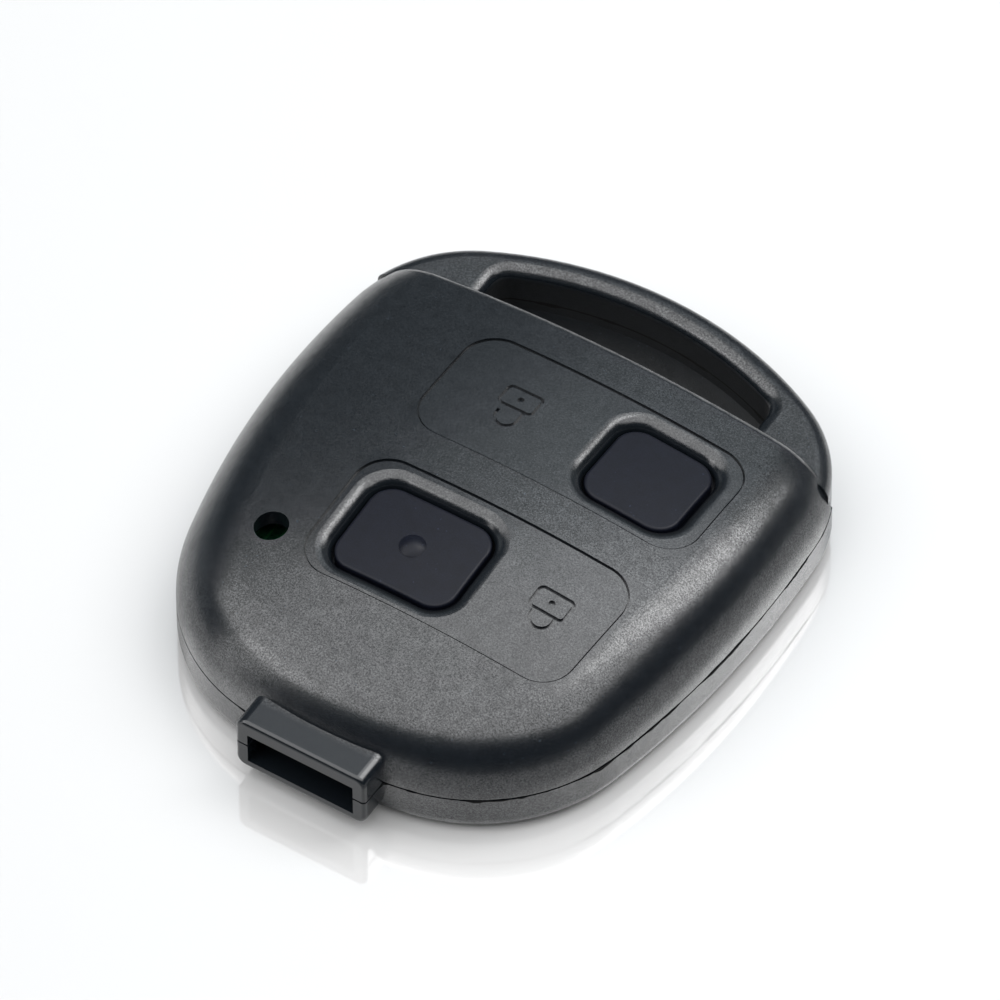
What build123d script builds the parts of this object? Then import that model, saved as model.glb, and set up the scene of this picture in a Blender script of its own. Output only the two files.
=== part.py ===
from build123d import *
import math
import os

os.makedirs("parts", exist_ok=True)

# The outside of the case, in millimetres. +Y is the blade end and -Y the key-ring end.
length = 54.4
width = 44.4
height = 12.0
parting_z = 4.0
parting_gap = 0.14
wall = 1.5
rear_floor = 1.4

# The outline is drawn with arcs that run into each other.
widest_from_ring = 20.5
blade_end_arc_r = 42.0
blade_corner_r = 15.3
side_to_blade_r = 85.0
side_to_ring_r = 105.0
ring_corner_r = 12.0
ring_arc_r = 33.2

# The domed top, its rounded shoulder and the rounded bottom edge.
crown_r = 110.0
crown_from_ring = 27.7
shoulder_r = 6.0
bottom_edge_r = 1.5
crease_edge_r = 0.9

# The key-ring end: a lower bar beyond a step, with a slot right through.
crease_from_ring = 9.6
ring_height = 7.3
ring_bar = 2.65
ring_bar_edge_r = 1.4
ring_step = 0.25
slot_length = 25.6
slot_corner_r = 1.6
slot_edge_r = 1.1
slot_lean = 1.0
slot_lean_top = 3.0
slot_bottom_r = 0.35
sleeve_wall = 0.6
sleeve_fit = 0.08
sleeve_low = 0.4
# The blade socket that stands out of the other end.
socket_reach = 2.2
socket_width = 12.0
socket_bottom = 1.3
socket_top = 6.7
socket_corner_r = 0.9
socket_edge_r = 0.35
mouth_width = 9.75
mouth_height = 3.17
mouth_bottom = 2.13
blade_pocket = 12.0
pocket_rib = 1.2
pocket_peg_d = 2.4
pocket_peg_h = 1.4

# The two sunk pads round the buttons and the marks in them.
pad_depth = 0.15
pad_corner_r = 3.0
pad_line = 0.16
pad_line_depth = 0.22
lock_pad_left = 9.3
lock_pad_right = -15.9
lock_pad_low = 1.9
lock_pad_high = 14.3
lock_pad_slant = 0.9
unlock_pad_left = 9.1
unlock_pad_right = -16.6
unlock_pad_low = -13.6
unlock_pad_high = -1.75
mark_groove = 0.28
mark_depth = 0.25
mark_body_w = 3.4
mark_body_h = 2.3
mark_shackle_w = 2.2
mark_shackle_h = 1.5
lock_mark_x = -10.6
unlock_mark_x = 2.3

# The rubber buttons.
lock_x = 1.75
lock_y = 8.1
lock_w = 11.0
lock_h = 8.55
unlock_x = -9.95
unlock_y = -7.7
unlock_w = 8.5
unlock_h = 8.25
button_corner_r = 2.0
button_edge_r = 0.25
button_drop = 0.8
button_gap = 0.22
button_travel = 0.35
well_rim_r = 1.15
dot_d = 2.2
dot_h = 0.4

# The silicone pad under the front shell, with a thin web round each button.
pad_sheet_z = 7.0
pad_sheet = 0.7
pad_margin = 3.2
pad_skirt = 1.0
web_span = 1.2
web_thickness = 0.3
pad_inset = 2.0
web_rise = 0.8
button_flange = 0.7
post_d = 3.0
collar = 0.9
frame_rib = 0.9

# The circuit board and what is soldered to it.
board_z = 4.6
board = 0.8
board_clear = 1.1
board_gap = 0.4
switch_w = 5.2
switch_h = 1.5
switch_cavity_d = 4.4
switch_cavity = 0.85
switch_cover = 0.2
dome_d = 4.0
dome_sheet = 0.1
dome_rise = 0.35
plunger_d = 2.0
plunger_flange_d = 3.0
plunger_flange = 0.25
plunger_out = 0.4
plunger_fit = 0.06
touch_gap = 0.05
led_hole_d = 2.8
led_from_side = 9.9
led_from_blade_end = 12.8
led_lens_d = 2.0
led_foot_d = 2.5
led_foot_h = 0.5
led_tall = 3.0
chip_w = 5.0
chip_l = 6.2
chip_h = 1.5
chip_x = 10.5
chip_from_crease = 12.6
can_l = 5.0
can_w = 3.5
can_h = 1.2
can_x = 10.5
can_from_crease = 6.4
passive_l = 1.6
passive_w = 0.8
passive_h = 0.6
coil_d = 3.2
coil_h = 1.6
coil_x = 4.0
coil_y = -2.6
antenna_wide = 0.8
antenna_tall = 0.5
antenna_opening = 0.8
antenna_l = 13.2
antenna_w = 7.8
antenna_x = 10.7
antenna_from_crease = 10.4
passive_step = 1.9
passive_count = 4
passive_row_y = -8.8
capacitor_x = -1.3
resistor_x = 0.9

# The coin cell, its cradle and its two contacts.
cell_d = 20.0
cell_h = 1.6
cell_x = 1.0
cell_fit = 0.15
cell_base = 1.72
cell_cap_d = 17.2
cell_cap_h = 0.4
cell_edge_r = 0.2
cradle_rib = 0.9
cradle_h = 1.4
contact_sheet = 0.25
contact_w = 4.0
contact_tab = 1.4

# The immobiliser chip in its own pocket beside the cell.
transponder_w = 5.6
transponder_l = 11.0
transponder_h = 2.9
transponder_from_cell = 13.4
transponder_from_crease = 7.5
transponder_fit = 0.12
transponder_rib = 0.8
transponder_rib_h = 2.0
transponder_corner_r = 0.4

# Board posts, the tongue round the parting line and the case screw.
post_rib_d = 3.0
post_from_side = 4.3
post_from_crease = 9.1
high_post_from_side = 5.6
high_post_from_blade_end = 16.9
pin_d = 1.2
pin_fit = 0.12
pin_stand = 0.6
tongue = 0.55
tongue_h = 1.0
tongue_fit = 0.07
tongue_end_gap = 0.4
screw_from_crease = 3.6
screw_d = 2.0
screw_head_d = 3.8
screw_head_h = 1.1
screw_length = 7.4
screw_sink = 0.1
screw_pass_fit = 0.15
boss_d = 4.6
boss_gap = 0.1
boss_clear = 0.7
cross_w = 0.5
cross_l = 2.2
cross_depth = 0.7
thread_fit = 0.04

# How far a cut runs past a face, and how close an edge must lie to be picked.
past = 1.0
near = 0.05

# Places worked out from the sizes above.
mouth_y = length / 2
ring_y = -length / 2
blade_end_y = mouth_y - socket_reach
wide_y = ring_y + widest_from_ring
crown_y = ring_y + crown_from_ring
crease_y = ring_y + crease_from_ring
mouth_top = mouth_bottom + mouth_height
pocket_end_y = mouth_y - blade_pocket
front_low = parting_z + parting_gap / 2
rear_high = parting_z - parting_gap / 2
board_top = board_z + board
led_x = width / 2 - led_from_side
led_y = blade_end_y - led_from_blade_end
screw_y = crease_y + screw_from_crease
cell_y = (screw_y + boss_d / 2 + pocket_end_y - pocket_rib) / 2
transponder_x = cell_x - transponder_from_cell
transponder_y = crease_y + transponder_from_crease
far = 2 * length
buttons = {
    "lock": (lock_x, lock_y, lock_w, lock_h),
    "unlock": (unlock_x, unlock_y, unlock_w, unlock_h),
}


def slab(face, low, high):
    """A flat area raised from one height to another."""
    return Pos(0, 0, low) * extrude(face, amount=high - low)


def block(x0, x1, y0, y1, z0, z1):
    """A box given by its six faces."""
    return Pos((x0 + x1) / 2, (y0 + y1) / 2, (z0 + z1) / 2) * Box(x1 - x0, y1 - y0, z1 - z0)


def rod(x, y, d, z0, z1):
    """An upright cylinder from one height to another."""
    return Pos(x, y, (z0 + z1) / 2) * Cylinder(d / 2, z1 - z0)


def crown_z(x, y, drop=0.0):
    """Height of the domed top above a point, or of the dome a drop below it."""
    reach = math.hypot(x, y - crown_y)
    return height - crown_r + math.sqrt((crown_r - drop) ** 2 - reach ** 2)


def crown_ball(drop=0.0):
    """The great sphere whose top is the dome; its poles lie level, clear of the top."""
    return Pos(0, crown_y, height - crown_r) * Rot(90, 0, 0) * Sphere(crown_r - drop)


def corner_centre(a, ra, b, rb, rc):
    """Centre of an arc of radius rc that runs inside circle a and circle b."""
    span = math.dist(a, b)
    from_a = ra - rc
    from_b = rb - rc
    along = (from_a ** 2 - from_b ** 2 + span ** 2) / (2 * span)
    aside = math.sqrt(from_a ** 2 - along ** 2)
    ux = (b[0] - a[0]) / span
    uy = (b[1] - a[1]) / span
    options = [(a[0] + along * ux - s * aside * uy, a[1] + along * uy + s * aside * ux) for s in (1, -1)]
    return max(options)


def on_circle(centre, through, radius):
    """The point of a circle that lies in the direction of another point."""
    span = math.dist(centre, through)
    return tuple(c + (t - c) * radius / span for c, t in zip(centre, through))


def arc(centre, radius, p, q):
    """A short arc about a centre from p to q."""
    middle = on_circle(centre, ((p[0] + q[0]) / 2, (p[1] + q[1]) / 2), radius)
    return ThreePointArc(p, middle, q)


def outline(inset=0.0, narrow=0.0):
    """The whole outline seen from above, moved inwards by inset; narrow draws in the sides alone."""
    half = width / 2 - narrow
    blade = (0, blade_end_y - blade_end_arc_r)
    side_up = (half - side_to_blade_r, wide_y)
    side_down = (half - side_to_ring_r, wide_y)
    ring = (0, ring_y + ring_arc_r)
    up_corner = corner_centre(blade, blade_end_arc_r, side_up, side_to_blade_r, blade_corner_r)
    down_corner = corner_centre(side_down, side_to_ring_r, ring, ring_arc_r, ring_corner_r)
    p0 = (0, blade_end_y - inset)
    p1 = on_circle(blade, up_corner, blade_end_arc_r - inset)
    p2 = on_circle(side_up, up_corner, side_to_blade_r - inset)
    p3 = (half - inset, wide_y)
    p4 = on_circle(side_down, down_corner, side_to_ring_r - inset)
    p5 = on_circle(ring, down_corner, ring_arc_r - inset)
    p6 = (0, ring_y + inset)
    right = [
        arc(blade, blade_end_arc_r - inset, p0, p1),
        arc(up_corner, blade_corner_r - inset, p1, p2),
        arc(side_up, side_to_blade_r - inset, p2, p3),
        arc(side_down, side_to_ring_r - inset, p3, p4),
        arc(down_corner, ring_corner_r - inset, p4, p5),
        arc(ring, ring_arc_r - inset, p5, p6),
    ]
    left = [mirror(edge, about=Plane.YZ) for edge in right]
    return make_face(right + left)


def case_area(inset=0.0):
    """The outline of the case alone, from the step to the blade end."""
    keep = Pos(0, crease_y + inset + far / 2) * Rectangle(far, far)
    return outline(inset) & keep


def rounded(x, y, w, h, r):
    """A rectangle with rounded corners."""
    return Pos(x, y) * RectangleRounded(w, h, r)


def case_dome(inset=0.0):
    """The domed case, filled, with its shoulder; inset gives the matching inner form."""
    prism = slab(outline(inset), parting_z - wall, height + past)
    body = prism & crown_ball(inset)
    rim = [e for e in body.edges() if e.geom_type != GeomType.LINE and e.center().Z > parting_z]
    body = fillet(rim, shoulder_r - inset)
    return body & block(-far, far, crease_y + inset, far, 0, height + 1)


def slot_area(narrow=0.0):
    """The key-ring slot seen from above; narrow draws in all but its side along the step."""
    disc = Pos(0, ring_y + ring_arc_r) * Circle(ring_arc_r - ring_bar - narrow)
    strip = Pos(0, crease_y - length / 2) * Rectangle(slot_length - 2 * narrow, length)
    area = strip & disc
    return fillet(area.vertices(), slot_corner_r)


def sleeve_area(grow, gap):
    """The band on three sides of the slot, with the slot itself, up to a gap before the step."""
    keep = Pos(0, crease_y - gap - far / 2) * Rectangle(far, far)
    return offset(slot_area(), amount=sleeve_wall + grow) & keep


def slot_hole():
    """The space of the slot: upright above, drawn in towards the rear face."""
    ends = [slot_area(slot_lean), Pos(0, 0, slot_lean_top) * slot_area()]
    hole = loft(ends, ruled=True)
    return hole + slab(slot_area(slot_lean), -past, 0) + slab(slot_area(), slot_lean_top, height)


def button_area(name, grow=0.0):
    """The outline of a button, or of what goes round it."""
    x, y, w, h = buttons[name]
    return rounded(x, y, w + 2 * grow, h + 2 * grow, button_corner_r + grow)


def lock_pad_area():
    """The pad of the lock button; its far end narrows with the side of the case."""
    right = lock_pad_right
    points = [
        (lock_pad_left, lock_pad_low),
        (lock_pad_left, lock_pad_high),
        (right + lock_pad_slant, lock_pad_high),
        (right, lock_pad_low),
    ]
    return fillet(make_face(Polyline(*points, close=True)).vertices(), pad_corner_r)


def unlock_pad_area():
    """The pad of the unlock button."""
    w = unlock_pad_left - unlock_pad_right
    h = unlock_pad_high - unlock_pad_low
    x = (unlock_pad_left + unlock_pad_right) / 2
    y = (unlock_pad_high + unlock_pad_low) / 2
    return rounded(x, y, w, h, pad_corner_r)


def padlock_mark(x, y, lift):
    """A small padlock in outline; lift opens the shackle on one side."""
    g = mark_groove
    body_y = y - mark_shackle_h / 2
    body = rounded(x, body_y, mark_body_w, mark_body_h, 2 * g)
    body -= rounded(x, body_y, mark_body_w - 2 * g, mark_body_h - 2 * g, g)
    top = body_y + mark_body_h / 2
    r = mark_shackle_w / 2
    bow_y = top + mark_shackle_h - r + lift
    bow = Pos(x, bow_y) * (Circle(r) - Circle(r - g))
    bow &= Pos(x, bow_y + r) * Rectangle(4 * r, 2 * r)
    legs = Pos(x - r + g / 2, (top + bow_y) / 2) * Rectangle(g, bow_y - top)
    low = top if lift == 0 else top + lift
    legs += Pos(x + r - g / 2, (low + bow_y) / 2) * Rectangle(g, bow_y - low)
    keyhole = Pos(x, body_y) * Circle(g)
    return [body, bow, legs, keyhole]


def socket_block(low, high):
    """The outside of the blade socket between two heights, before the mouth is cut."""
    back = blade_end_y - shoulder_r
    middle = (socket_top + socket_bottom) / 2
    tall = socket_top - socket_bottom
    face = Plane.XZ * Pos(0, middle) * RectangleRounded(socket_width, tall, socket_corner_r)
    body = Pos(0, mouth_y, 0) * extrude(face, amount=mouth_y - back)
    front = body.faces().sort_by(Axis.Y)[-1]
    body = fillet(front.edges(), socket_edge_r)
    return body & block(-far, far, back, far, low, high)


def mouth_block():
    """The space that the blade goes into."""
    half = mouth_width / 2
    return block(-half, half, pocket_end_y, far, mouth_bottom, mouth_top)


def boss_ring(name, inner, outer, low):
    """A closed rib that follows a button, from a height up to the dome."""
    ring = button_area(name, outer) - button_area(name, inner)
    return slab(ring, low, height) & crown_ball(wall / 2)


def slot_edges(body, z, high_y, grow=0.0):
    """The edges round the key-ring slot at one height, up to a line; grow takes in the sleeve."""
    low_y = ring_y + ring_bar - grow - near
    side = slot_length / 2 + grow + near
    level = [e for e in body.edges() if abs(e.center().Z - z) < near]
    return [e for e in level if low_y < e.center().Y < high_y and abs(e.center().X) < side]


def ring_half():
    """The part of the key-ring bar that belongs to the front shell, carried on under the step's rounding."""
    bar = slab(outline(0, ring_step), parting_z, ring_height)
    rim = [e for e in bar.edges() if e.geom_type != GeomType.LINE and e.center().Z > ring_height - near]
    bar = fillet(rim, ring_bar_edge_r)
    bar &= block(-far, far, -far, crease_y + crease_edge_r, 0, height)
    bar -= slot_hole()
    return fillet(slot_edges(bar, ring_height, crease_y - near), slot_edge_r)


def well_rim(body, name):
    """The edges where a button well meets its sunk pad."""
    x, y, w, h = buttons[name]
    side = w / 2 + button_gap + near
    end = h / 2 + button_gap + near
    inside = [e for e in body.edges() if abs(e.center().X - x) < side and abs(e.center().Y - y) < end]
    return [e for e in inside if abs(e.center().Z - crown_z(e.center().X, e.center().Y, pad_depth)) < near]


def sunk_details(body):
    """Cuts the pads with their engraved borders, the wells, the marks and the lamp's hole into the dome."""
    for area in (lock_pad_area(), unlock_pad_area()):
        body -= slab(area, parting_z, height + past) - crown_ball(pad_depth)
        border = area - offset(area, amount=-pad_line)
        body -= slab(border, parting_z, height + past) - crown_ball(pad_depth + pad_line_depth)
    for name in buttons:
        body -= slab(button_area(name, button_gap), parting_z, height + past)
        body = fillet(well_rim(body, name), well_rim_r)
    mark_ball = crown_ball(pad_depth + mark_depth)
    marks = padlock_mark(lock_mark_x, lock_y, 0) + padlock_mark(unlock_mark_x, unlock_y, 2 * mark_groove)
    for area in marks:
        body -= slab(area, parting_z, height + past) - mark_ball
    return body - rod(led_x, led_y, led_hole_d, parting_z, height + past)


def front_shell():
    """The domed upper half: case, bar of the key ring, wells, pads, marks and inner ribs."""
    outer = case_dome()
    crease = [e for e in outer.edges() if abs(e.center().Y - crease_y) < near
              and e.center().Z > ring_height + crease_edge_r]
    body = fillet(crease, crease_edge_r) - case_dome(wall)
    sheet_top = pad_sheet_z + pad_sheet
    for name in buttons:
        plug = slab(button_area(name, button_gap + collar), sheet_top + web_rise + touch_gap, height)
        body += plug & crown_ball(wall / 2)
    body = sunk_details(body) + ring_half()
    for name in buttons:
        inner = button_gap + web_span
        body += boss_ring(name, inner, inner + frame_rib, sheet_top)
    body += rod(0, screw_y, boss_d, front_low, height) & crown_ball(wall / 2)
    body += socket_block(front_low, far) - case_dome(wall)
    half = mouth_width / 2 + pocket_rib
    pocket = block(-half, half, pocket_end_y - pocket_rib, blade_end_y, front_low, mouth_top + pocket_rib)
    body += pocket & case_dome(wall / 2)
    body -= mouth_block()
    body -= rod(0, screw_y, screw_d + 2 * thread_fit, 0, screw_sink + screw_length + thread_fit)
    body -= slab(tongue_ring(tongue_fit), 0, parting_z + tongue_h + tongue_fit)
    body &= block(-far, far, -far, far, front_low, far)
    return body + (slab(sleeve_area(0, sleeve_fit), sleeve_low, parting_z + wall) - slot_hole())


def board_area():
    """The circuit board: the case outline drawn in, with room for the blade and the screw."""
    area = case_area(wall + board_clear)
    side = mouth_width / 2 + pocket_rib + board_clear
    low = pocket_end_y - pocket_rib - board_gap
    high = led_y + led_foot_d
    area -= Pos(side - far / 2, low + far / 2) * Rectangle(far, far)
    area -= Pos(0, high + far / 2) * Rectangle(far, far)
    return area - Pos(0, screw_y) * Circle(boss_d / 2 + boss_clear)


def post_places():
    """Where the board stands on the rear shell."""
    low = width / 2 - post_from_side
    high = width / 2 - high_post_from_side
    places = [(side, crease_y + post_from_crease) for side in (low, -low)]
    return places + [(side, blade_end_y - high_post_from_blade_end) for side in (high, -high)]


def tongue_ring(grow=0.0):
    """The ring of the tongue on the rear shell, left out across the blade socket."""
    ring = case_area(wall - tongue - grow) - case_area(wall)
    side = mouth_width / 2 + pocket_rib + tongue_end_gap - grow
    return ring - Pos(0, pocket_end_y + far / 2) * Rectangle(2 * side, far)


def screw_cone():
    """The countersink under the screw head, from the rear face up."""
    cone = Pos(0, screw_y, screw_sink + screw_head_h / 2) * Cone(
        screw_head_d / 2, screw_d / 2, screw_head_h)
    return cone + rod(0, screw_y, screw_head_d, -past, screw_sink)


def rear_half(narrow, low_y, high_y):
    """A stretch of the flat lower half, with its rounded bottom edge."""
    body = slab(outline(0, narrow), 0, rear_high)
    low = [e for e in body.edges() if e.geom_type != GeomType.LINE and e.center().Z < near]
    return fillet(low, bottom_edge_r) & block(-far, far, low_y, high_y, 0, height)


def rear_outside():
    """The flat lower half, before anything stands in it."""
    body = rear_half(0, crease_y, far) + rear_half(ring_step, -far, crease_y)
    body -= slab(case_area(wall), rear_floor, height)
    body -= slab(sleeve_area(sleeve_fit, 0), -past, height)
    return fillet(slot_edges(body, 0, crease_y - near, sleeve_wall + sleeve_fit), slot_bottom_r)


def transponder_walls():
    """The pocket that holds the immobiliser chip."""
    w = transponder_w + 2 * transponder_fit
    l = transponder_l + 2 * transponder_fit
    ring = Rectangle(w + 2 * transponder_rib, l + 2 * transponder_rib) - Rectangle(w, l)
    walls = slab(Pos(transponder_x, transponder_y) * ring, rear_floor / 2, rear_floor + transponder_rib_h)
    return walls & slab(case_area(wall / 2), 0, height)


def rear_shell():
    """The flat lower half: floor, wall, tongue, cradle, pockets and posts."""
    body = rear_outside()
    body += slab(tongue_ring(), rear_high - tongue_h, parting_z + tongue_h)
    body += socket_block(0, rear_high) - slab(case_area(wall), rear_floor, height)
    half = mouth_width / 2 + pocket_rib
    body += block(-half, half, pocket_end_y - pocket_rib, blade_end_y - wall / 2, rear_floor / 2, rear_high)
    body -= mouth_block()
    peg_y = (pocket_end_y + blade_end_y) / 2
    body += rod(0, peg_y, pocket_peg_d, rear_floor, mouth_bottom + pocket_peg_h)

    cradle_r = cell_d / 2 + cell_fit
    cradle = Pos(cell_x, cell_y) * (Circle(cradle_r + cradle_rib) - Circle(cradle_r))
    cradle -= Pos(cell_x, cell_y) * (Rectangle(2 * contact_w, far) + Rectangle(far, 2 * contact_w))
    body += slab(cradle, rear_floor / 2, cell_base + cradle_h)
    body += transponder_walls()

    for x, y in post_places():
        body += rod(x, y, post_rib_d, rear_floor / 2, board_z)
        body += rod(x, y, pin_d, rear_floor, board_top + pin_stand)
    body += rod(0, screw_y, boss_d, rear_floor / 2, front_low - boss_gap)
    body -= screw_cone()
    return body - rod(0, screw_y, screw_d + 2 * screw_pass_fit, -past, height)


def cap_radius(d, rise):
    """Radius of the sphere that a cap of this diameter and rise is cut from."""
    return (d ** 2 / 4 + rise ** 2) / (2 * rise)


def button(name):
    """A rubber button: its top follows the dome, with a foot that presses the switch."""
    x, y, w, h = buttons[name]
    foot_z = pad_sheet_z + pad_sheet + web_rise
    top = slab(button_area(name), foot_z, height + past) & crown_ball(button_drop)
    rim = [e for e in top.edges() if e.center().Z > foot_z + past and e.geom_type != GeomType.LINE]
    body = fillet(rim, button_edge_r)
    flange = button_area(name, button_gap)
    body += slab(flange, foot_z - button_flange, foot_z)
    body += rod(x, y, post_d, plunger_top() + touch_gap, foot_z)
    if name == "lock":
        r = cap_radius(dot_d, dot_h)
        z = crown_z(x, y, button_drop)
        body += Pos(x, y, z + dot_h - r) * Sphere(r) & rod(x, y, dot_d + 2 * near, z - dot_h, z + past)
    return body


def plunger_top():
    """Height of the switch plungers at rest."""
    return board_top + switch_h + plunger_out


def button_pad():
    """The silicone sheet that carries both buttons and stands on the board on two skirts."""
    hole = button_gap + web_span
    reach = hole + pad_skirt
    x0 = unlock_x - unlock_w / 2 - reach
    x1 = lock_x + lock_w / 2 + reach
    y0 = unlock_y - unlock_h / 2 - reach
    y1 = lock_y + lock_h / 2 + reach
    area = rounded((x0 + x1) / 2, (y0 + y1) / 2, x1 - x0, y1 - y0, pad_corner_r)
    area &= case_area(wall + pad_inset)
    area -= Pos(0, screw_y) * Circle(boss_d / 2 + boss_clear)
    for name in buttons:
        area -= button_area(name, hole)
    body = slab(area, pad_sheet_z, pad_sheet_z + pad_sheet)
    for name in buttons:
        skirt = (button_area(name, reach) - button_area(name, hole)) & board_area() & area
        body += slab(skirt, board_top, pad_sheet_z)
    return body


def slope(name, low, high):
    """A solid that narrows from the hole in the silicone sheet to the foot of a button."""
    faces = [
        Pos(0, 0, low) * button_area(name, button_gap + web_span),
        Pos(0, 0, high) * button_area(name, button_gap),
    ]
    return loft(faces, ruled=True)


def button_web(name):
    """The thin sloping ring of silicone that lets a button sink."""
    high = pad_sheet_z + pad_sheet
    low = high - web_thickness
    body = slab(button_area(name, button_gap + web_span), low, high) + slope(name, high, high + web_rise)
    body -= slope(name, low, low + web_rise)
    return body - slab(button_area(name, button_gap), 0, height)


def circuit_board():
    """The board, with a hole for each pin of the rear shell."""
    body = slab(board_area(), board_z, board_top)
    for x, y in post_places():
        body -= rod(x, y, pin_d + 2 * pin_fit, 0, height)
    return body


def switch_body(name):
    """The moulded base of a push switch, hollow for its snap dome."""
    x, y, w, h = buttons[name]
    high = board_top + switch_h - switch_cover
    body = Pos(x, y, (board_top + high) / 2) * Box(switch_w, switch_w, high - board_top)
    return body - rod(x, y, switch_cavity_d, high - switch_cavity, high)


def switch_lid(name):
    """The pressed cover of a push switch, with a hole for the plunger."""
    x, y, w, h = buttons[name]
    high = board_top + switch_h
    body = Pos(x, y, high - switch_cover / 2) * Box(switch_w, switch_w, switch_cover)
    return body - rod(x, y, plunger_d + 2 * plunger_fit, 0, height)


def dome_floor():
    """Height of the floor that the snap domes stand on."""
    return board_top + switch_h - switch_cover - switch_cavity


def snap_dome(name):
    """The thin dished spring under a plunger."""
    x, y, w, h = buttons[name]
    r = cap_radius(dome_d, dome_rise)
    centre = Pos(x, y, dome_floor() + dome_rise + dome_sheet - r)
    shell = centre * Sphere(r) - centre * Sphere(r - dome_sheet)
    return shell & rod(x, y, dome_d, dome_floor(), board_top + switch_h)


def plunger(name):
    """The plunger of a push switch, held in by its flange."""
    x, y, w, h = buttons[name]
    low = dome_floor() + dome_rise + dome_sheet + touch_gap / 2
    body = rod(x, y, plunger_d, low, plunger_top())
    return body + rod(x, y, plunger_flange_d, low, low + plunger_flange)


def coin_cell():
    """The coin cell: a can with the smaller cap underneath."""
    low = cell_base + cell_cap_h
    can = rod(cell_x, cell_y, cell_d, low, cell_base + cell_h)
    can = fillet(can.edges().filter_by(GeomType.CIRCLE), cell_edge_r)
    return can + rod(cell_x, cell_y, cell_cap_d, cell_base, low)


def negative_contact():
    """The strip under the cell, turned up to the board at one end."""
    low = rear_floor
    y0 = cell_y - contact_w / 2
    y1 = cell_y + contact_w / 2
    end = cell_x + cell_d / 2 + contact_tab
    strip = block(cell_x, end, y0, y1, low, low + contact_sheet)
    return strip + block(end - contact_sheet, end, y0, y1, low, board_z)


def positive_clip():
    """The sprung leaf that hangs from the board and bears on the cell."""
    high = board_z
    t = contact_sheet
    end = cell_y + cell_d / 2
    bend = end - contact_w
    tip = cell_y - contact_w / 2
    touch = cell_base + cell_h + touch_gap
    points = [(end, high), (bend, high), (tip, touch + t), (tip, touch), (bend, high - t), (end, high - t)]
    face = make_face(Polyline(*[(0, y, z) for y, z in points], close=True))
    return Pos(cell_x - contact_w / 2, 0, 0) * extrude(face, amount=contact_w, dir=(1, 0, 0))


def transponder():
    """The small block of the immobiliser chip, with rounded edges."""
    z = rear_floor + touch_gap + transponder_h / 2
    body = Pos(transponder_x, transponder_y, z) * Box(transponder_w, transponder_l, transponder_h)
    return fillet(body.edges().filter_by(Axis.Z), transponder_corner_r)


def case_screw():
    """The countersunk screw that holds the two halves together."""
    head = Pos(0, screw_y, screw_sink + screw_head_h / 2) * Cone(
        screw_head_d / 2 - thread_fit, screw_d / 2, screw_head_h)
    body = head + rod(0, screw_y, screw_d, screw_sink + screw_head_h / 2, screw_sink + screw_length)
    for w, l in ((cross_w, cross_l), (cross_l, cross_w)):
        body -= Pos(0, screw_y, screw_sink) * Box(w, l, 2 * cross_depth)
    return body


def on_board(x, y, w, l, h):
    """A small part soldered to the top of the board."""
    return block(x - w / 2, x + w / 2, y - l / 2, y + l / 2, board_top, board_top + h)


def soldered_row(x):
    """A row of equal small parts, each a solid of its own."""
    places = [passive_row_y + i * passive_step for i in range(passive_count)]
    return Compound(children=[on_board(x, y, passive_l, passive_w, passive_h) for y in places])


def indicator_led():
    """The small domed lamp under the round hole."""
    dome_z = board_top + led_tall - led_lens_d / 2
    lens = rod(led_x, led_y, led_lens_d, board_top, dome_z)
    lens += Pos(led_x, led_y, dome_z) * Sphere(led_lens_d / 2)
    return lens + rod(led_x, led_y, led_foot_d, board_top, board_top + led_foot_h)


def antenna_loop():
    """The open loop of flat wire round the transmitter."""
    ring = Rectangle(antenna_w, antenna_l)
    ring -= Rectangle(antenna_w - 2 * antenna_wide, antenna_l - 2 * antenna_wide)
    ring -= Pos(antenna_w / 2, 0) * Rectangle(2 * antenna_wide + past, antenna_opening)
    y = crease_y + antenna_from_crease
    return slab(Pos(antenna_x, y) * ring, board_top, board_top + antenna_tall)


nodes = {
    "front_shell": front_shell(),
    "rear_shell": rear_shell(),
    "button_pad": button_pad(),
    "circuit_board": circuit_board(),
    "transmitter_chip": on_board(chip_x, crease_y + chip_from_crease, chip_w, chip_l, chip_h),
    "resonator_can": on_board(can_x, crease_y + can_from_crease, can_l, can_w, can_h),
    "tuning_coil": rod(coil_x, coil_y, coil_d, board_top, board_top + coil_h),
    "chip_capacitors": soldered_row(capacitor_x),
    "chip_resistors": soldered_row(resistor_x),
    "antenna_loop": antenna_loop(),
    "indicator_led": indicator_led(),
    "coin_cell": coin_cell(),
    "cell_negative_contact": negative_contact(),
    "cell_positive_clip": positive_clip(),
    "transponder_chip": transponder(),
    "case_screw": case_screw(),
}
for name in buttons:
    nodes[name + "_button"] = button(name)
    nodes[name + "_button_web"] = button_web(name)
    nodes[name + "_switch_body"] = switch_body(name)
    nodes[name + "_switch_cover"] = switch_lid(name)
    nodes[name + "_switch_dome"] = snap_dome(name)
    nodes[name + "_switch_plunger"] = plunger(name)

for name, piece in nodes.items():
    export_step(piece, "parts/" + name + ".step")
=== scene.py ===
import math
import bpy
from mathutils import Matrix, Vector


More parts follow.
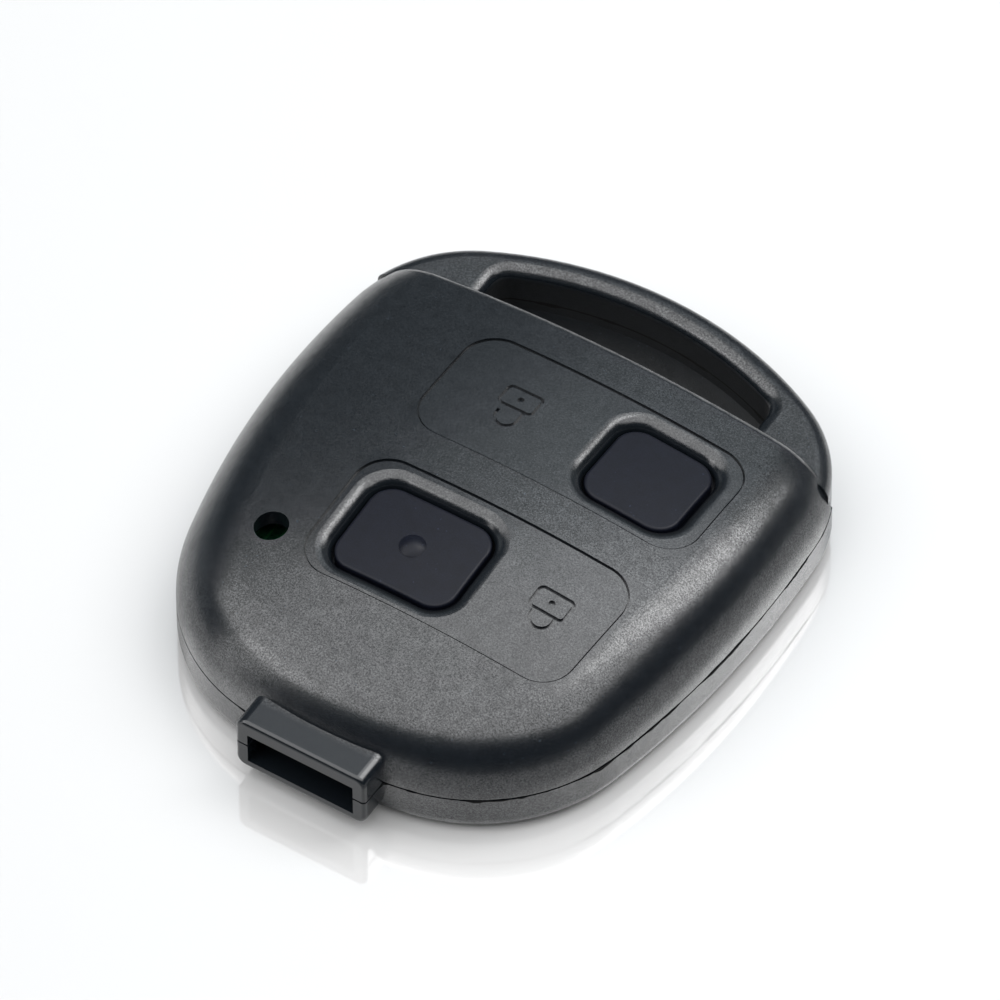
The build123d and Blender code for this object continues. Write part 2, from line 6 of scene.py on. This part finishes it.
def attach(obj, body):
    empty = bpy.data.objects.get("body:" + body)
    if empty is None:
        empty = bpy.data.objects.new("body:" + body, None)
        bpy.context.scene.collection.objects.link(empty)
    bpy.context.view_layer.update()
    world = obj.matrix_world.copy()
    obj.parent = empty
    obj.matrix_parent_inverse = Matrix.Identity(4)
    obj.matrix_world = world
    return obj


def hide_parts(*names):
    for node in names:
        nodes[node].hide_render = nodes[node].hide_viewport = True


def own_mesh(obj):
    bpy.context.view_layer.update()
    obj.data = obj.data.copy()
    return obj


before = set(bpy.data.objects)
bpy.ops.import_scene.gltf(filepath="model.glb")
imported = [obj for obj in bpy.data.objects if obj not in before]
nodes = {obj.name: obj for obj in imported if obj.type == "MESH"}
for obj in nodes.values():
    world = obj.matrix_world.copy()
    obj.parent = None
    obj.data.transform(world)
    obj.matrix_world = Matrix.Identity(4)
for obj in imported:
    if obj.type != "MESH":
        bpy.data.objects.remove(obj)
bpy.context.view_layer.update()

bpy.ops.object.select_all(action="DESELECT")

# Camera. It looks down on the blade end of the head from about 51 degrees above,
# from far away through a long lens, so the view is close to a parallel one.
azimuth = math.radians(32.737)
elevation = math.radians(50.819)
roll = math.radians(-0.295)
distance = 1.10497
middle_of_view = Vector((0.0016138, -0.0042474, 0.0038289))

towards_camera = Vector((
    -math.sin(azimuth) * math.cos(elevation),
    math.cos(azimuth) * math.cos(elevation),
    math.sin(elevation),
))
camera_data = bpy.data.cameras.new("photo_camera")
camera_data.sensor_width = 36.0
camera_data.lens = 504.0
camera_data.clip_start = 0.01
camera_data.clip_end = 20.0
camera = bpy.data.objects.new("photo_camera", camera_data)
bpy.context.scene.collection.objects.link(camera)
stand = Matrix.Translation(middle_of_view + towards_camera * distance)
aim = (-towards_camera).to_track_quat("-Z", "Y").to_matrix().to_4x4()
camera.matrix_world = stand @ aim @ Matrix.Rotation(roll, 4, "Z")
bpy.context.scene.camera = camera
bpy.context.scene.view_settings.view_transform = "Standard"

# Table and studio. The head lies on a glossy white card under one wide soft lamp, with a smaller
# lamp at the right and a lit card at the left. Far behind them the room glows dimly: a pale
# wall, a window high up in it, and a patch low at the left.
table_size = 6.0
gap_under_head = 0.00003
bpy.ops.mesh.primitive_plane_add(size=table_size, location=(0, 0, -gap_under_head))
table = bpy.context.object
table.name = "white_table"


def add(tree, kind, **inputs):
    """A node with some of its sockets set by name."""
    node = tree.nodes.new(kind)
    for name, value in inputs.items():
        node.inputs[name.replace("_", " ")].default_value = value
    return node


def bare_material(name):
    """A new material, its node tree and its shader."""
    material = bpy.data.materials.new(name)
    material.use_nodes = True
    return material, material.node_tree, material.node_tree.nodes["Principled BSDF"]


def show(tree, for_camera, for_others, output):
    """Gives the camera's own rays one shader and all other rays another."""
    ray = tree.nodes.new("ShaderNodeLightPath")
    choose = tree.nodes.new("ShaderNodeMixShader")
    tree.links.new(ray.outputs["Is Camera Ray"], choose.inputs[0])
    tree.links.new(for_others.outputs[0], choose.inputs[1])
    tree.links.new(for_camera.outputs[0], choose.inputs[2])
    tree.links.new(choose.outputs[0], output.inputs["Surface"])


white = (1, 1, 1, 1)
white_card, tree, card = bare_material("white_card")
card.inputs["Base Color"].default_value = (0.86, 0.86, 0.86, 1)
card.inputs["Roughness"].default_value = 0.06
card.inputs["IOR"].default_value = 2.2
card.inputs["Specular IOR Level"].default_value = 1.0
glow = add(tree, "ShaderNodeEmission", Color=white, Strength=0.045)
glowing_card = tree.nodes.new("ShaderNodeAddShader")
tree.links.new(card.outputs[0], glowing_card.inputs[0])
tree.links.new(glow.outputs[0], glowing_card.inputs[1])
show(tree, glowing_card, card, tree.nodes["Material Output"])
table.data.materials.append(white_card)

# Level directions as the camera sees them, for the places of the lamps and the glows.
to_the_right = Vector((-math.cos(azimuth), -math.sin(azimuth), 0))
to_the_front = Vector((-math.sin(azimuth), math.cos(azimuth), 0))


def maths(tree, operation, a, b=None, clamp=False):
    """A Math node; each side is a number or another node's output."""
    node = tree.nodes.new("ShaderNodeMath")
    node.operation = operation
    node.use_clamp = clamp
    for socket, value in zip(node.inputs, (a, b)):
        if isinstance(value, (int, float)):
            socket.default_value = value
        elif value is not None:
            tree.links.new(value, socket)
    return node.outputs[0]


def spread(tree, value, ends, results, curve="LINEAR"):
    """Turns a value between two ends into one between two results, held beyond the ends."""
    node = tree.nodes.new("ShaderNodeMapRange")
    node.interpolation_type = curve
    node.inputs["From Min"].default_value, node.inputs["From Max"].default_value = ends
    node.inputs["To Min"].default_value, node.inputs["To Max"].default_value = results
    tree.links.new(value, node.inputs["Value"])
    return node.outputs[0]


def glow_from(tree, direction, turn, lift, edge, core, level):
    """Light from a soft patch of the room; turn is to the right, and all angles are in degrees."""
    turn, lift, edge, core = (math.radians(angle) for angle in (turn, lift, edge, core))
    level_part = to_the_right * math.sin(turn) - to_the_front * math.cos(turn)
    facing = tree.nodes.new("ShaderNodeVectorMath")
    facing.operation = "DOT_PRODUCT"
    facing.inputs[1].default_value = level_part * math.cos(lift) + Vector((0, 0, math.sin(lift)))
    tree.links.new(direction, facing.inputs[0])
    ends = (math.cos(edge), math.cos(core))
    return spread(tree, facing.outputs["Value"], ends, (0.0, level), "SMOOTHSTEP")


studio = bpy.data.worlds.new("studio")
studio.use_nodes = True
bpy.context.scene.world = studio
tree = studio.node_tree
tree.nodes.clear()
direction = tree.nodes.new("ShaderNodeTexCoord").outputs["Generated"]
wall = glow_from(tree, direction, turn=25, lift=8, edge=70, core=15, level=0.14)
window = glow_from(tree, direction, turn=18, lift=49, edge=20, core=7, level=0.75)
low_left = glow_from(tree, direction, turn=-54, lift=-2, edge=30, core=10, level=0.3)
room = add(tree, "ShaderNodeBackground", Color=(0.88, 0.95, 1.0, 1))
room_glow = maths(tree, "ADD", maths(tree, "ADD", wall, window), low_left)
tree.links.new(room_glow, room.inputs["Strength"])
backdrop = add(tree, "ShaderNodeBackground", Color=white, Strength=1.0)
show(tree, backdrop, room, tree.nodes.new("ShaderNodeOutputWorld"))

watts_per_square_metre = 4.0


def soft_lamp(name, right, front, high, wide, tall, level, aimed=True):
    """A flat lamp placed from the head's middle, aimed at it or else hung level, facing down."""
    place = to_the_right * right + to_the_front * front + Vector((0, 0, high))
    lamp = bpy.data.lights.new(name, "AREA")
    lamp.shape = "RECTANGLE"
    lamp.size = wide
    lamp.size_y = tall
    lamp.energy = level * watts_per_square_metre * wide * tall
    holder = bpy.data.objects.new(name, lamp)
    bpy.context.scene.collection.objects.link(holder)
    turn = Matrix.Rotation(azimuth, 4, "Z")
    if aimed:
        back = place.normalized()
        side = to_the_front.cross(back).normalized()
        turn = Matrix((side, back.cross(side), back)).transposed().to_4x4()
    holder.matrix_world = Matrix.Translation(place) @ turn


soft_lamp("overhead_softbox", right=-0.22, front=0.07, high=0.8,
          wide=2.24, tall=1.16, level=1.55, aimed=False)
soft_lamp("right_softbox", right=0.54, front=-0.22, high=0.71, wide=0.7, tall=0.3, level=2.5)
soft_lamp("left_card", right=-0.9, front=0.2, high=0.36, wide=0.8, tall=0.36, level=1.15)

# Front shell. Black plastic moulded in a spark-eroded tool, so it is finely grained all over,
# with the sunk pads a little smoother and the nose round the blade polished. Its rim has a
# tongue that fits the groove of the rear shell.
grain = bpy.data.node_groups.new("moulded_grain", "ShaderNodeTree")
for name, kind in (("Colour", "Color"), ("Grain", "Float"), ("Depth", "Float"),
                   ("Smooth", "Float"), ("Rough", "Float")):
    grain.interface.new_socket(name=name, in_out="INPUT", socket_type="NodeSocket" + kind)
for name, kind in (("Colour", "Color"), ("Roughness", "Float"), ("Normal", "Vector"),
                   ("Sparkle", "Float")):
    grain.interface.new_socket(name=name, in_out="OUTPUT", socket_type="NodeSocket" + kind)


def times(tree, product, *factors):
    """Numbers and outputs multiplied together."""
    for factor in factors:
        product = maths(tree, "MULTIPLY", product, factor)
    return product


def outside(tree, mask, clamp=False):
    """1 where a mask is 0, and 0 where it is 1."""
    return maths(tree, "SUBTRACT", 1.0, mask, clamp)


def object_place(tree):
    """Where a point lies on the piece, in metres."""
    return tree.nodes.new("ShaderNodeTexCoord").outputs["Object"]


def pattern(tree, kind, place, **inputs):
    """A texture node that is read at a place."""
    node = add(tree, "ShaderNodeTex" + kind, **inputs)
    tree.links.new(place, node.inputs["Vector"])
    return node


def relief(tree, height, **inputs):
    """A Bump node that raises the surface where height is 1."""
    node = add(tree, "ShaderNodeBump", **inputs)
    tree.links.new(height, node.inputs["Height"])
    return node


def scaled(tree, colour, scale):
    """A colour, as three numbers or another node's output, made lighter or darker."""
    node = tree.nodes.new("ShaderNodeVectorMath")
    node.operation = "SCALE"
    if isinstance(colour, tuple):
        node.inputs[0].default_value = colour
    else:
        tree.links.new(colour, node.inputs[0])
    tree.links.new(scale, node.inputs["Scale"])
    return node.outputs[0]


noise_range = (0.3, 0.7)  # nearly all of a noise's values lie in it
smooth_sparkle = 0.6  # what the coat has where the plastic has no grain
polish = 0.12  # how much less rough smooth plastic is
given = grain.nodes.new("NodeGroupInput")
result = grain.nodes.new("NodeGroupOutput")
place = object_place(grain)
fine = pattern(grain, "Noise", place, Detail=3.0, Roughness=0.6)
grain.links.new(given.outputs["Grain"], fine.inputs["Scale"])
coarse = pattern(grain, "Noise", place, Scale=900.0, Detail=2.0)
flecks = pattern(grain, "Noise", place, Scale=2600.0, Detail=1.0)
dull = outside(grain, given.outputs["Smooth"], clamp=True)

grained = relief(grain, fine.outputs["Fac"], Strength=1.0)
grain.links.new(times(grain, given.outputs["Depth"], dull), grained.inputs["Distance"])
grain.links.new(grained.outputs["Normal"], result.inputs["Normal"])

mottle = times(grain, spread(grain, fine.outputs["Fac"], noise_range, (0.72, 1.32)),
               spread(grain, coarse.outputs["Fac"], noise_range, (0.9, 1.12)))
pale_flecks = spread(grain, flecks.outputs["Fac"], (0.74, 0.80), (0.0, 2.0))
mottle = maths(grain, "ADD", mottle, pale_flecks)
mottle = maths(grain, "ADD", times(grain, maths(grain, "SUBTRACT", mottle, 1.0), dull), 1.0)
grain.links.new(scaled(grain, given.outputs["Colour"], mottle), result.inputs["Colour"])

uneven = times(grain, spread(grain, fine.outputs["Fac"], noise_range, (-0.05, 0.05)), dull)
uneven = maths(grain, "ADD", given.outputs["Rough"], uneven)
polished = times(grain, given.outputs["Smooth"], polish)
grain.links.new(maths(grain, "SUBTRACT", uneven, polished), result.inputs["Roughness"])

facets = times(grain, spread(grain, fine.outputs["Fac"], (0.34, 0.66), (0.2, 1.0)),
               spread(grain, coarse.outputs["Fac"], noise_range, (0.85, 1.15)))
facets = times(grain, maths(grain, "SUBTRACT", facets, smooth_sparkle), dull)
facets = maths(grain, "ADD", facets, smooth_sparkle, clamp=True)
grain.links.new(facets, result.inputs["Sparkle"])


def split(tree, vector):
    """The x, y and z of a vector."""
    node = tree.nodes.new("ShaderNodeSeparateXYZ")
    tree.links.new(vector, node.inputs[0])
    return node.outputs


def surface_normal(tree):
    """The x, y and z of the way that the bare surface faces."""
    return split(tree, tree.nodes.new("ShaderNodeNewGeometry").outputs["Normal"])


def within(tree, value, limits, soft):
    """1 where a value lies between two limits, with soft ends, and 0 elsewhere."""
    low, high = limits
    up = spread(tree, value, (low - soft, low + soft), (0.0, 1.0))
    down = spread(tree, value, (high - soft, high + soft), (1.0, 0.0))
    return times(tree, up, down)


def grained_plastic(name, colour, grain_scale, depth, rough, shine):
    """Moulded plastic or rubber, with the grain group in it as its node named Grain."""
    material, tree, shader = bare_material(name)
    shader.inputs["Specular IOR Level"].default_value = shine
    texture = tree.nodes.new("ShaderNodeGroup")
    texture.name = "Grain"
    texture.node_tree = grain
    texture.inputs["Colour"].default_value = colour
    texture.inputs["Grain"].default_value = grain_scale
    texture.inputs["Depth"].default_value = depth
    texture.inputs["Smooth"].default_value = 0.0
    texture.inputs["Rough"].default_value = rough
    tree.links.new(texture.outputs["Colour"], shader.inputs["Base Color"])
    tree.links.new(texture.outputs["Roughness"], shader.inputs["Roughness"])
    tree.links.new(texture.outputs["Normal"], shader.inputs["Normal"])
    return material


def dress(material, *names):
    """Gives CAD nodes their material."""
    for name in names:
        slots = nodes[name].data.materials
        slots.clear()
        slots.append(material)


case_plastic = grained_plastic("case_plastic", (0.0085, 0.0115, 0.0150, 1), grain_scale=7500.0,
                               depth=0.00003, rough=0.22, shine=0.3)
tree = case_plastic.node_tree
texture = tree.nodes["Grain"]
shader = tree.nodes["Principled BSDF"]
shader.inputs["Coat IOR"].default_value = 1.9
shader.inputs["Coat Roughness"].default_value = 0.22
place = object_place(tree)
along_x, along_y, along_z = split(tree, place)
normal_x, normal_y, normal_z = surface_normal(tree)


def rectangle(x_limits, y_limits, soft):
    """1 on the part of the case that lies between limits in x and y."""
    return times(tree, within(tree, along_x, x_limits, soft), within(tree, along_y, y_limits, soft))


# The sunk pads are a little smoother than the rest, and the nose round the blade is polished.
pad_soft = 0.00008
pad_smoothness = 0.35
lock_pad = rectangle((-0.0158, 0.0093), (0.0019, 0.0143), pad_soft)
unlock_pad = rectangle((-0.0166, 0.0091), (-0.0136, -0.00175), pad_soft)
pads = times(tree, maths(tree, "ADD", lock_pad, unlock_pad, clamp=True), pad_smoothness)
nose_half_width = 0.0061
nose_foot = (0.0246, 0.025)
nose = times(tree, within(tree, along_x, (-nose_half_width, nose_half_width), soft=0.0001),
             spread(tree, along_y, nose_foot, (0.0, 0.9)))
tree.links.new(maths(tree, "MAXIMUM", pads, nose), texture.inputs["Smooth"])

# The plain wall of the key-ring slot, which faces the middle of the case, is matt, and its colour
# is halved as painted shade.
slot_edge = (-0.0179, -0.0178)
outward = maths(tree, "ADD", times(tree, along_x, normal_x), times(tree, along_y, normal_y))
slot_wall = times(tree, spread(tree, outward, (-0.009, -0.005), (1.0, 0.0)),
                  spread(tree, along_y, slot_edge, (1.0, 0.0)),
                  spread(tree, normal_z, (0.15, 0.5), (1.0, 0.0)))

# A painted highlight along the edge of the step behind the buttons: paler colour, most at the
# right.
step_edge = (-0.01752, -0.01702)
step_top = (0.0078, 0.0084)
step_ends = (-0.016, 0.012)
blotches = pattern(tree, "Noise", place, Scale=1500.0, Detail=3.0)
painted_highlight = times(tree, within(tree, along_y, step_edge, soft=0.00012),
               spread(tree, along_z, step_top, (0.0, 1.0)),
               spread(tree, along_x, step_ends, (0.14, 0.07)),
               spread(tree, blotches.outputs["Fac"], (0.35, 0.65), (0.55, 1.25)))

# The joint between the shells is a black line with small chips and slips of flash along it.
line_foot = (0.0039, 0.00393)
line_head = (0.00407, 0.0041)
deepest_chip = 0.00032
flash_share = 0.4
steepest_flat = 0.8
chips = pattern(tree, "Noise", place, Scale=330.0, Detail=3.0)
chip_depth = spread(tree, chips.outputs["Fac"], (0.5, 0.72), (0.0, deepest_chip))
over = spread(tree, maths(tree, "ADD", along_z, chip_depth), line_foot, (0.0, 1.0))
flash = times(tree, chip_depth, flash_share)
under = spread(tree, maths(tree, "SUBTRACT", along_z, flash), line_head, (1.0, 0.0))
upright = maths(tree, "LESS_THAN", maths(tree, "ABSOLUTE", normal_z), steepest_flat)
joint_line = times(tree, times(tree, over, under), upright)
off_line = outside(tree, joint_line)

# The steep walls of the wells, on the blade side and at the end of each button, are made dull,
# and their colour is darkened as painted shade.
well_soft = 0.0002
away_x, away_y = 0.54, 0.84  # these walls face this far along x and back along y
lock_well = rectangle((-0.0049, 0.0084), (0.0027, 0.0135), well_soft)
unlock_well = rectangle((-0.0153, -0.0046), (-0.0129, -0.0025), well_soft)
turned_away = maths(tree, "SUBTRACT", times(tree, normal_x, away_x), times(tree, normal_y, away_y))
painted_well_shade = times(tree, maths(tree, "ADD", lock_well, unlock_well, clamp=True),
              spread(tree, turned_away, (0.1, 0.42), (0.0, 0.9)))

# The gloss of the grain's facets is less on steep walls, and there is none in the joint line,
# on the wall of the slot or on the wells' walls that have painted shade.
gloss = spread(tree, normal_z, (0.0, 0.5), (0.7, 1.0))
nose_gloss = spread(tree, normal_z, (0.3, 0.7), (0.0, 0.75))
change = times(tree, nose, maths(tree, "SUBTRACT", nose_gloss, gloss))
gloss = maths(tree, "ADD", gloss, change)
gloss = times(tree, gloss, times(tree, off_line, outside(tree, slot_wall)), outside(tree, painted_well_shade))
coat = maths(tree, "MULTIPLY", texture.outputs["Sparkle"], gloss, clamp=True)
tree.links.new(coat, shader.inputs["Coat Weight"])

# The colour carries the painted highlight on the step's edge and the painted shade of the slot's
# wall and the wells, besides the real black joint line.
paler = tree.nodes.new("ShaderNodeVectorMath")
paler.operation = "ADD"
tree.links.new(texture.outputs["Colour"], paler.inputs[0])
tree.links.new(painted_highlight, paler.inputs[1])
painted_darkening = times(tree, spread(tree, slot_wall, (0.0, 1.0), (1.0, 0.5)),
               spread(tree, painted_well_shade, (0.0, 1.0), (1.0, 0.3)))
joint_and_painted_light_colour = scaled(tree, paler.outputs[0], times(tree, off_line, painted_darkening))
tree.links.new(joint_and_painted_light_colour, shader.inputs["Base Color"])

slot_roughness = 0.8
line_roughness = 0.95
matt = maths(tree, "MAXIMUM", times(tree, slot_wall, slot_roughness),
             times(tree, joint_line, line_roughness))
roughness = maths(tree, "MAXIMUM", texture.outputs["Roughness"], matt)
tree.links.new(roughness, shader.inputs["Roughness"])
dress(case_plastic, "front_shell")

# Rear shell. The same black plastic as the front, moulded with the same grain on its sides
# and floor. The case screw draws its rim up against the front shell's.
dress(case_plastic, "rear_shell")

# Buttons. Smooth silicone rubber, moulded flat, with a soft sheen and a trace of dust.
# They stand on the pad inside and come up through the wells of the front shell.
button_rubber = grained_plastic("button_rubber", (0.0055, 0.007, 0.0135, 1), grain_scale=9000.0,
                                depth=0.000002, rough=0.4, shine=0.25)
dress(button_rubber, "lock_button", "unlock_button")

# Button pad and webs. One moulded sheet of dark grey silicone under both buttons, soft and
# matt, that lies between the board and the front shell; a thin web goes round each button.
silicone_sheet = grained_plastic("silicone_sheet", (0.055, 0.056, 0.06, 1), grain_scale=3500.0,
                                 depth=0.00001, rough=0.6, shine=0.4)
dress(silicone_sheet, "button_pad", "lock_button_web", "unlock_button_web")

# Circuit board. Glass-fibre board 0.8 mm thick under green solder mask: the copper tracks show
# through the mask as paler lines, and the routed edge is bare laminate.
solder_mask = grained_plastic("solder_mask", (0.010, 0.095, 0.04, 1), grain_scale=2600.0,
                              depth=0.000004, rough=0.3, shine=0.5)
tree = solder_mask.node_tree
track_green = (0.035, 0.19, 0.075, 1)
laminate_tan = (0.3, 0.25, 0.12, 1)
lane_spacing, lane_width = 0.0009, 0.00018  # tracks along the board
rung_spacing, rung_width = 0.00124, 0.0002  # tracks across it
lanes_from, rungs_below = 0.55, 0.35  # which areas have lanes or rungs; the others are plain
edge_slope = 0.5


def laid_over(tree, under, colour, mask):
    """A colour with another one over it where the mask is 1."""
    node = tree.nodes.new("ShaderNodeMix")
    node.data_type = "RGBA"
    node.inputs["B"].default_value = colour
    tree.links.new(mask, node.inputs["Factor"])
    tree.links.new(under, node.inputs["A"])
    return node.outputs["Result"]


place = object_place(tree)
along_x, along_y = split(tree, place)[:2]
areas = pattern(tree, "Voronoi", place, Scale=210.0)
areas.distance = "CHEBYCHEV"
pick = tree.nodes.new("ShaderNodeSeparateColor")
tree.links.new(areas.outputs["Color"], pick.inputs[0])
from_lane = maths(tree, "PINGPONG", along_x, lane_spacing / 2)
from_rung = maths(tree, "PINGPONG", along_y, rung_spacing / 2)
lanes = times(tree, maths(tree, "LESS_THAN", from_lane, lane_width / 2),
              maths(tree, "GREATER_THAN", pick.outputs[0], lanes_from))
rungs = times(tree, maths(tree, "LESS_THAN", from_rung, rung_width / 2),
              maths(tree, "LESS_THAN", pick.outputs[0], rungs_below))
tracks = maths(tree, "ADD", lanes, rungs, clamp=True)
tracked = laid_over(tree, tree.nodes["Grain"].outputs["Colour"], track_green, tracks)
flatness = maths(tree, "ABSOLUTE", surface_normal(tree)[2])
routed_edge = maths(tree, "LESS_THAN", flatness, edge_slope)
board_colour = laid_over(tree, tracked, laminate_tan, routed_edge)
tree.links.new(board_colour, tree.nodes["Principled BSDF"].inputs["Base Color"])
dress(solder_mask, "circuit_board")

# Transmitter chip, switch bases and transponder. Black epoxy and glass-filled nylon, matt from
# the mould. The chip and the bases are soldered to the board, and the transponder lies loose
# in its pocket.
moulded_epoxy = grained_plastic("moulded_epoxy", (0.02, 0.02, 0.021, 1), grain_scale=5200.0,
                                depth=0.000012, rough=0.55, shine=0.5)
dress(moulded_epoxy, "transmitter_chip", "lock_switch_body", "unlock_switch_body",
      "transponder_chip")

# Switch covers and snap domes. Stainless strip: the covers are rolled along the board, and the
# domes are pressed bright. A copy of each dome, merged and smoothly shaded, stands for it.


def plated_metal(name, colour, rough, lines_per_metre, depth):
    """Rolled or drawn metal; the fineness of its rolling lines is given along x, y and z."""
    material, tree, shader = bare_material(name)
    shader.inputs["Metallic"].default_value = 1.0
    place = object_place(tree)
    drawn = add(tree, "ShaderNodeMapping", Scale=lines_per_metre)
    tree.links.new(place, drawn.inputs["Vector"])
    lines = pattern(tree, "Noise", drawn.outputs[0], Scale=1.0, Detail=3.0, Roughness=0.55)
    blotches = pattern(tree, "Noise", place, Scale=420.0, Detail=2.0)
    tone = times(tree, spread(tree, lines.outputs["Fac"], noise_range, (0.85, 1.1)),
                 spread(tree, blotches.outputs["Fac"], (0.35, 0.65), (0.9, 1.06)))
    tree.links.new(scaled(tree, colour, tone), shader.inputs["Base Color"])
    streaks = spread(tree, lines.outputs["Fac"], noise_range, (rough - 0.07, rough + 0.09))
    tree.links.new(streaks, shader.inputs["Roughness"])
    drawn_lines = relief(tree, lines.outputs["Fac"], Strength=0.6, Distance=depth)
    tree.links.new(drawn_lines.outputs["Normal"], shader.inputs["Normal"])
    return material


cover_steel = plated_metal("switch_cover_steel", (0.56, 0.55, 0.53), rough=0.28,
                           lines_per_metre=(900.0, 14000.0, 14000.0), depth=0.000004)
dome_steel = plated_metal("snap_dome_steel", (0.66, 0.65, 0.62), rough=0.16,
                          lines_per_metre=(5000.0, 5000.0, 900.0), depth=0.000002)
for switch in ("lock", "unlock"):
    node = switch + "_switch_dome"
    dress(cover_steel, switch + "_switch_cover")
    dress(dome_steel, node)
    piece = bpy.data.objects.new(node + "_flexing", nodes[node].data.copy())
    bpy.context.scene.collection.objects.link(piece)
    bpy.ops.object.select_all(action="DESELECT")
    bpy.context.view_layer.objects.active = piece
    piece.select_set(True)
    bpy.ops.object.mode_set(mode="EDIT")
    bpy.ops.mesh.select_all(action="SELECT")
    bpy.ops.mesh.remove_doubles(threshold=0.000001)
    bpy.ops.object.mode_set(mode="OBJECT")
    bpy.ops.object.shade_smooth_by_angle(angle=math.radians(30))
    piece.select_set(False)
    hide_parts(node)
    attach(piece, "case")
    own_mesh(piece)

# Switch plungers. Cream nylon pips, moulded, with a dull shine. Each stands on its dome and
# comes up through the hole in the switch cover.
plunger_nylon = grained_plastic("plunger_nylon", (0.55, 0.5, 0.4, 1), grain_scale=4200.0,
                                depth=0.000008, rough=0.45, shine=0.5)
dress(plunger_nylon, "lock_switch_plunger", "unlock_switch_plunger")

# Resonator can, cell contacts and antenna. The can and the contacts are tinned strip, bent and
# soldered to the board; the antenna is a bent loop of bare copper.
tin = (0.62, 0.61, 0.58)
tinned_strip = plated_metal("tinned_strip", tin, rough=0.3,
                            lines_per_metre=(1200.0, 9000.0, 9000.0), depth=0.000004)
dress(tinned_strip, "resonator_can", "cell_negative_contact", "cell_positive_clip")
bare_copper = plated_metal("bare_copper", (0.72, 0.34, 0.17), rough=0.3,
                           lines_per_metre=(8000.0, 900.0, 8000.0), depth=0.000004)
dress(bare_copper, "antenna_loop")

# Tuning coil. Enamelled copper wire wound in close turns on a ferrite bobbin, which stands
# on the board; the turns show as ridges round it.
enamelled_wire = plated_metal("enamelled_wire", (0.62, 0.24, 0.08), rough=0.22,
                              lines_per_metre=(2500.0, 2500.0, 2500.0), depth=0.000002)
tree = enamelled_wire.node_tree
turns = pattern(tree, "Wave", object_place(tree), Scale=1100.0, Distortion=0.0)
turns.bands_direction = "Z"
wound = relief(tree, turns.outputs["Fac"], Strength=1.0, Distance=0.00006)
tree.links.new(wound.outputs["Normal"], tree.nodes["Principled BSDF"].inputs["Normal"])
dress(enamelled_wire, "tuning_coil")

# Chip capacitors and resistors. Sintered ceramic, tan and black, lying across the board
# with the tinned caps at their ends soldered to it.


def end_capped(name, body, ends, cap):
    """Ceramic chips between two ends in x, in metres, each with a tinned cap at both ends."""
    material = grained_plastic(name, body, grain_scale=4800.0, depth=0.000006, rough=0.4, shine=0.5)
    tree = material.node_tree
    shader = tree.nodes["Principled BSDF"]
    along_x = split(tree, object_place(tree))[0]
    bare = within(tree, along_x, (ends[0] + cap, ends[1] - cap), soft=0.00001)
    caps = outside(tree, bare)
    capped = laid_over(tree, tree.nodes["Grain"].outputs["Colour"], (*tin, 1), caps)
    tree.links.new(capped, shader.inputs["Base Color"])
    tree.links.new(caps, shader.inputs["Metallic"])
    return material


tan_ceramic = end_capped("tan_ceramic", (0.33, 0.2, 0.1, 1), ends=(-0.0021, -0.0005), cap=0.00035)
dress(tan_ceramic, "chip_capacitors")
black_ceramic = end_capped("black_ceramic", (0.018, 0.018, 0.02, 1), ends=(0.0001, 0.0017),
                           cap=0.00035)
dress(black_ceramic, "chip_resistors")

# Indicator lamp. A dome of partly clear epoxy cast round its chip, its colour nearly black as
# painted shade in the hole. It is soldered to the board and fills the round hole of the front shell
# from below.
lamp_epoxy, tree, shader = bare_material("lamp_epoxy")
shader.inputs["Transmission Weight"].default_value = 0.25
shader.inputs["IOR"].default_value = 1.53
haze = pattern(tree, "Noise", object_place(tree), Scale=1800.0, Detail=2.0).outputs["Fac"]
painted_shade_tint = scaled(tree, (0.012, 0.013, 0.016), spread(tree, haze, noise_range, (0.85, 1.1)))
tree.links.new(painted_shade_tint, shader.inputs["Base Color"])
tree.links.new(spread(tree, haze, noise_range, (0.3, 0.42)), shader.inputs["Roughness"])
dress(lamp_epoxy, "indicator_led")

# Coin cell. Nickel-plated steel can 20 mm across, its face ring-turned and its rim drawn,
# with the dark gasket showing where the can is crimped over the cap.
cell_nickel = plated_metal("cell_can_nickel", (0.6, 0.59, 0.57), rough=0.26,
                           lines_per_metre=(2500.0, 2500.0, 2500.0), depth=0.000002)
tree = cell_nickel.node_tree
shader = tree.nodes["Principled BSDF"]
cell_x, cell_y = 0.001, 0.00115
gasket_ring = (0.0086, 0.0088)
gasket_height = (0.00176, 0.0018)
centred = add(tree, "ShaderNodeMapping", Location=(-cell_x, -cell_y, 0))
tree.links.new(object_place(tree), centred.inputs["Vector"])
turned = pattern(tree, "Wave", centred.outputs[0], Scale=1700.0, Distortion=0.4, Detail=2.0)
turned.wave_type = "RINGS"
turned.rings_direction = "Z"
rings = relief(tree, turned.outputs["Fac"], Strength=0.5, Distance=0.000004)
tree.links.new(rings.outputs["Normal"], shader.inputs["Normal"])
along_x, along_y, along_z = split(tree, centred.outputs[0])
squares = maths(tree, "ADD", times(tree, along_x, along_x), times(tree, along_y, along_y))
radius = maths(tree, "SQRT", squares)
gasket = times(tree, within(tree, radius, gasket_ring, soft=0.00003),
               spread(tree, along_z, gasket_height, (1.0, 0.0)))
nickel_colour = shader.inputs["Base Color"].links[0].from_socket
sealed = laid_over(tree, nickel_colour, (0.02, 0.02, 0.02, 1), gasket)
tree.links.new(sealed, shader.inputs["Base Color"])
tree.links.new(outside(tree, gasket), shader.inputs["Metallic"])
dress(cell_nickel, "coin_cell")

# Case screw. Zinc-plated steel with a cross recess, driven into the front shell's boss from
# the rear; the plating is faintly blue.
zinc_plate = plated_metal("zinc_plate", (0.5, 0.52, 0.55), rough=0.3,
                          lines_per_metre=(6000.0, 6000.0, 2500.0), depth=0.000006)
dress(zinc_plate, "case_screw")
